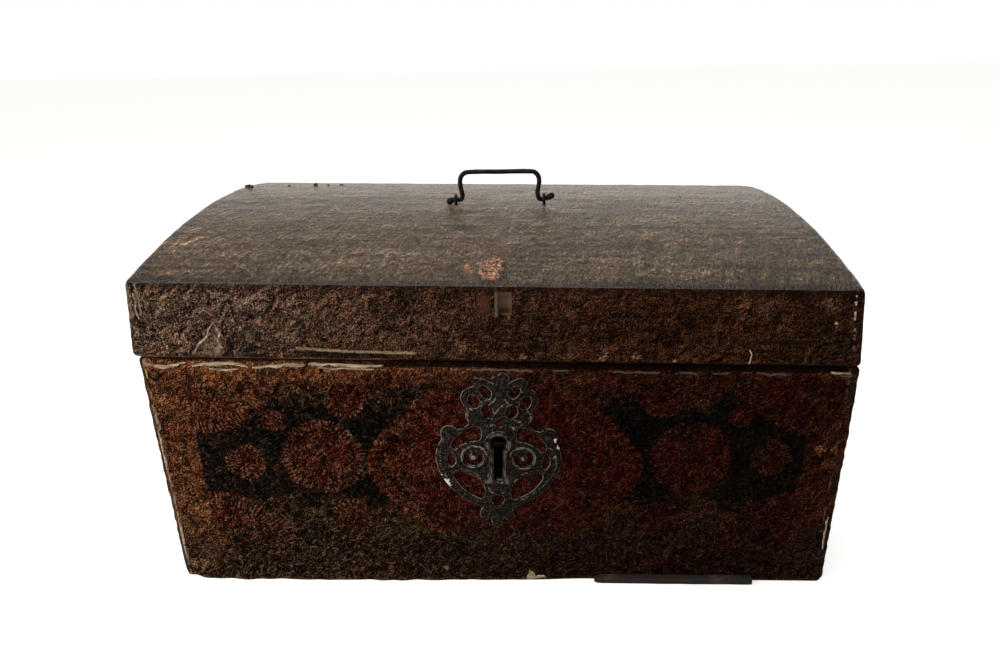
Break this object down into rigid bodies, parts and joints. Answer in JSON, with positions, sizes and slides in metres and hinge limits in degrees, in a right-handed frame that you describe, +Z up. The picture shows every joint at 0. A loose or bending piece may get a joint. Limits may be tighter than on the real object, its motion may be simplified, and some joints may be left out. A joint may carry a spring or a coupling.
{
  "type": "coffer",
  "caption": "Small leather-covered wooden coffer with a low arched hinged lid, a pierced iron lock plate, a sliding bolt and a folding bail handle on the lid.",
  "frame": {"origin": "middle of the bounding box in plan, on the surface the coffer stands on", "axes": "+X to the right along the length as seen from the lock plate side, +Y from the lock plate to the hinged back, +Z up"},
  "size_m": [0.4804, 0.32, 0.2815],
  "materials": {
    "wood": "old softwood, bare and dusty",
    "dark_wood": "dark stained strip, worn",
    "body_leather": "tooled and painted leather, dark red brown on black, crazed and worn",
    "lid_leather": "dry brown leather, wrinkled, dusty and worn",
    "paper": "aged lining paper",
    "plate_iron": "dark wrought iron with worn bright edges",
    "iron": "black forged iron, slightly rusted"
  },
  "bodies": {
    "chest": {"bottom_board": "wood", "front_board": "wood", "back_board": "wood", "left_end_board": "wood", "right_end_board": "wood", "base_strip": "dark_wood", "front_leather": "body_leather", "back_leather": "body_leather", "left_leather": "body_leather", "right_leather": "body_leather", "body_lining": "paper", "lock_plate": "plate_iron", "keyhole_collar": "plate_iron", "lock_plate_nail_top": "iron", "lock_plate_nail_left": "iron", "lock_plate_nail_right": "iron", "lock_plate_nail_bottom": "iron", "lock_case": "iron", "lock_case_nail_left": "iron", "lock_case_nail_right": "iron", "bolt_keeper_left": "iron", "bolt_keeper_right": "iron", "bolt_spring": "iron", "key_ward": "iron", "hinge_left_body_leaf": "iron", "hinge_right_body_leaf": "iron", "hinge_left_pin": "iron", "hinge_right_pin": "iron", "hinge_left_body_nail_1": "iron", "hinge_left_body_nail_2": "iron", "hinge_right_body_nail_1": "iron", "hinge_right_body_nail_2": "iron"},
    "lid": {"lid_front_rail": "wood", "lid_back_rail": "wood", "lid_left_end": "wood", "lid_right_end": "wood", "lid_stave_1": "wood", "lid_stave_2": "wood", "lid_stave_3": "wood", "lid_stave_4": "wood", "lid_stave_5": "wood", "lid_top_leather": "lid_leather", "lid_front_leather": "lid_leather", "lid_back_leather": "lid_leather", "lid_left_leather": "lid_leather", "lid_right_leather": "lid_leather", "lid_lining": "paper", "lid_catch": "iron", "catch_nail_left": "iron", "catch_nail_right": "iron", "hinge_left_lid_leaf": "iron", "hinge_right_lid_leaf": "iron", "hinge_left_lid_nail_1": "iron", "hinge_left_lid_nail_2": "iron", "hinge_right_lid_nail_1": "iron", "hinge_right_lid_nail_2": "iron", "handle_eye_left": "iron", "handle_eye_right": "iron"},
    "handle": {"bail_handle": "iron"},
    "bolt": {"lock_bolt": "iron"}
  },
  "joints": [
    {"name": "lid_hinge", "type": "hinge", "parent": "chest", "child": "lid", "pos_m": [0, 0.15235, 0.1808], "axis": [-1, 0, 0], "range_deg": [0, 105]},
    {"name": "handle_pivot", "type": "hinge", "parent": "lid", "child": "handle", "pos_m": [0.0024, -0.017, 0.25821], "axis": [1, 0, 0], "range_deg": [-95, 95]},
    {"name": "bolt_slide", "type": "slide", "parent": "chest", "child": "bolt", "axis": [1, 0, 0], "range_m": [0, 0.009]}
  ]
}
